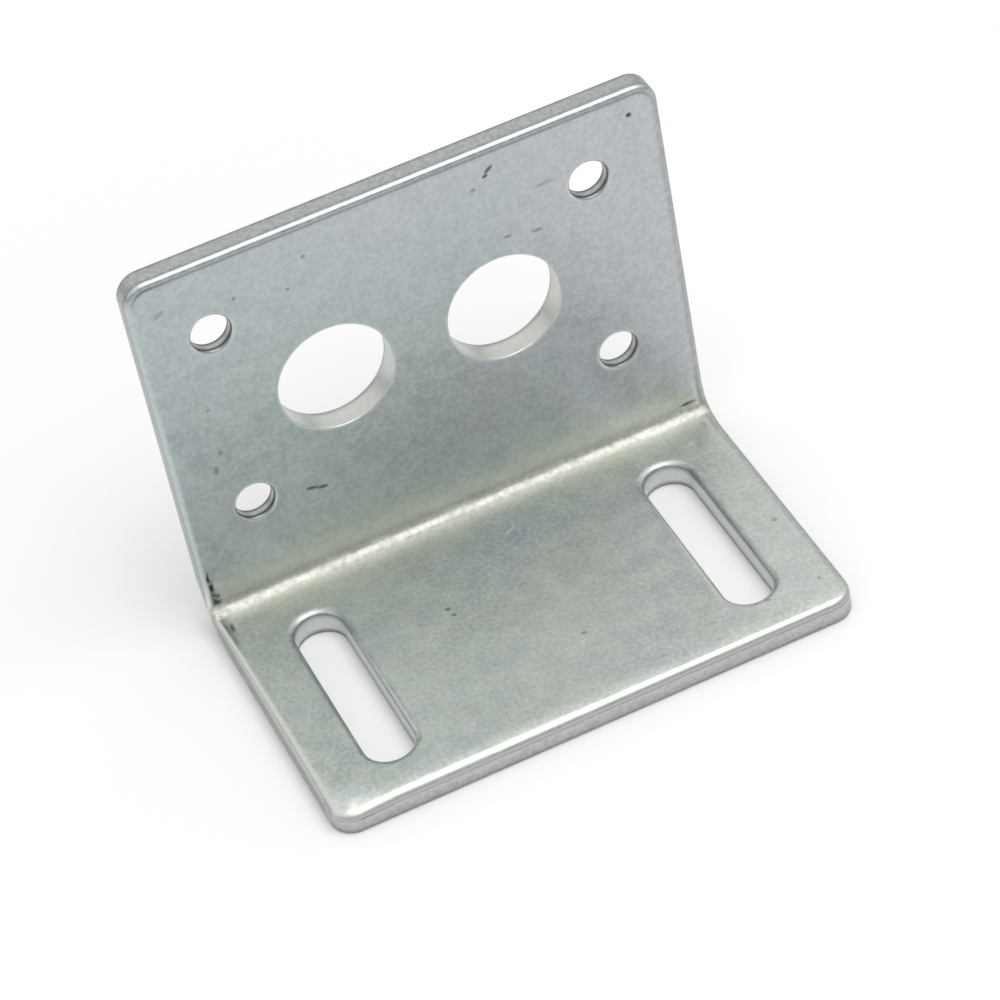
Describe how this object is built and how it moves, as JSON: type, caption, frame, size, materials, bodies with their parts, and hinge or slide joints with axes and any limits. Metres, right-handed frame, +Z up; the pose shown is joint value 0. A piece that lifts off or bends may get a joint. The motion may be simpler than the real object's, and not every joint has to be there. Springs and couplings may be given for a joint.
{
  "type": "motor mounting bracket",
  "caption": "L-shaped bracket of bent zinc-plated sheet steel: a flange that carries a small worm gearmotor by countersunk screws, and a foot with long slots.",
  "frame": {"origin": "middle of the bounding box at the foot's underside", "axes": "+X along the bend, to the right as seen from the gearbox's side; +Y from the foot's free edge towards the flange; +Z up the flange"},
  "size_m": [0.046, 0.0296, 0.037],
  "materials": {
    "zinc_plate": "bright zinc plate over cold-rolled steel, satin, lightly mottled"
  },
  "bodies": {
    "root": {"bracket": "zinc_plate"}
  },
  "joints": []
}
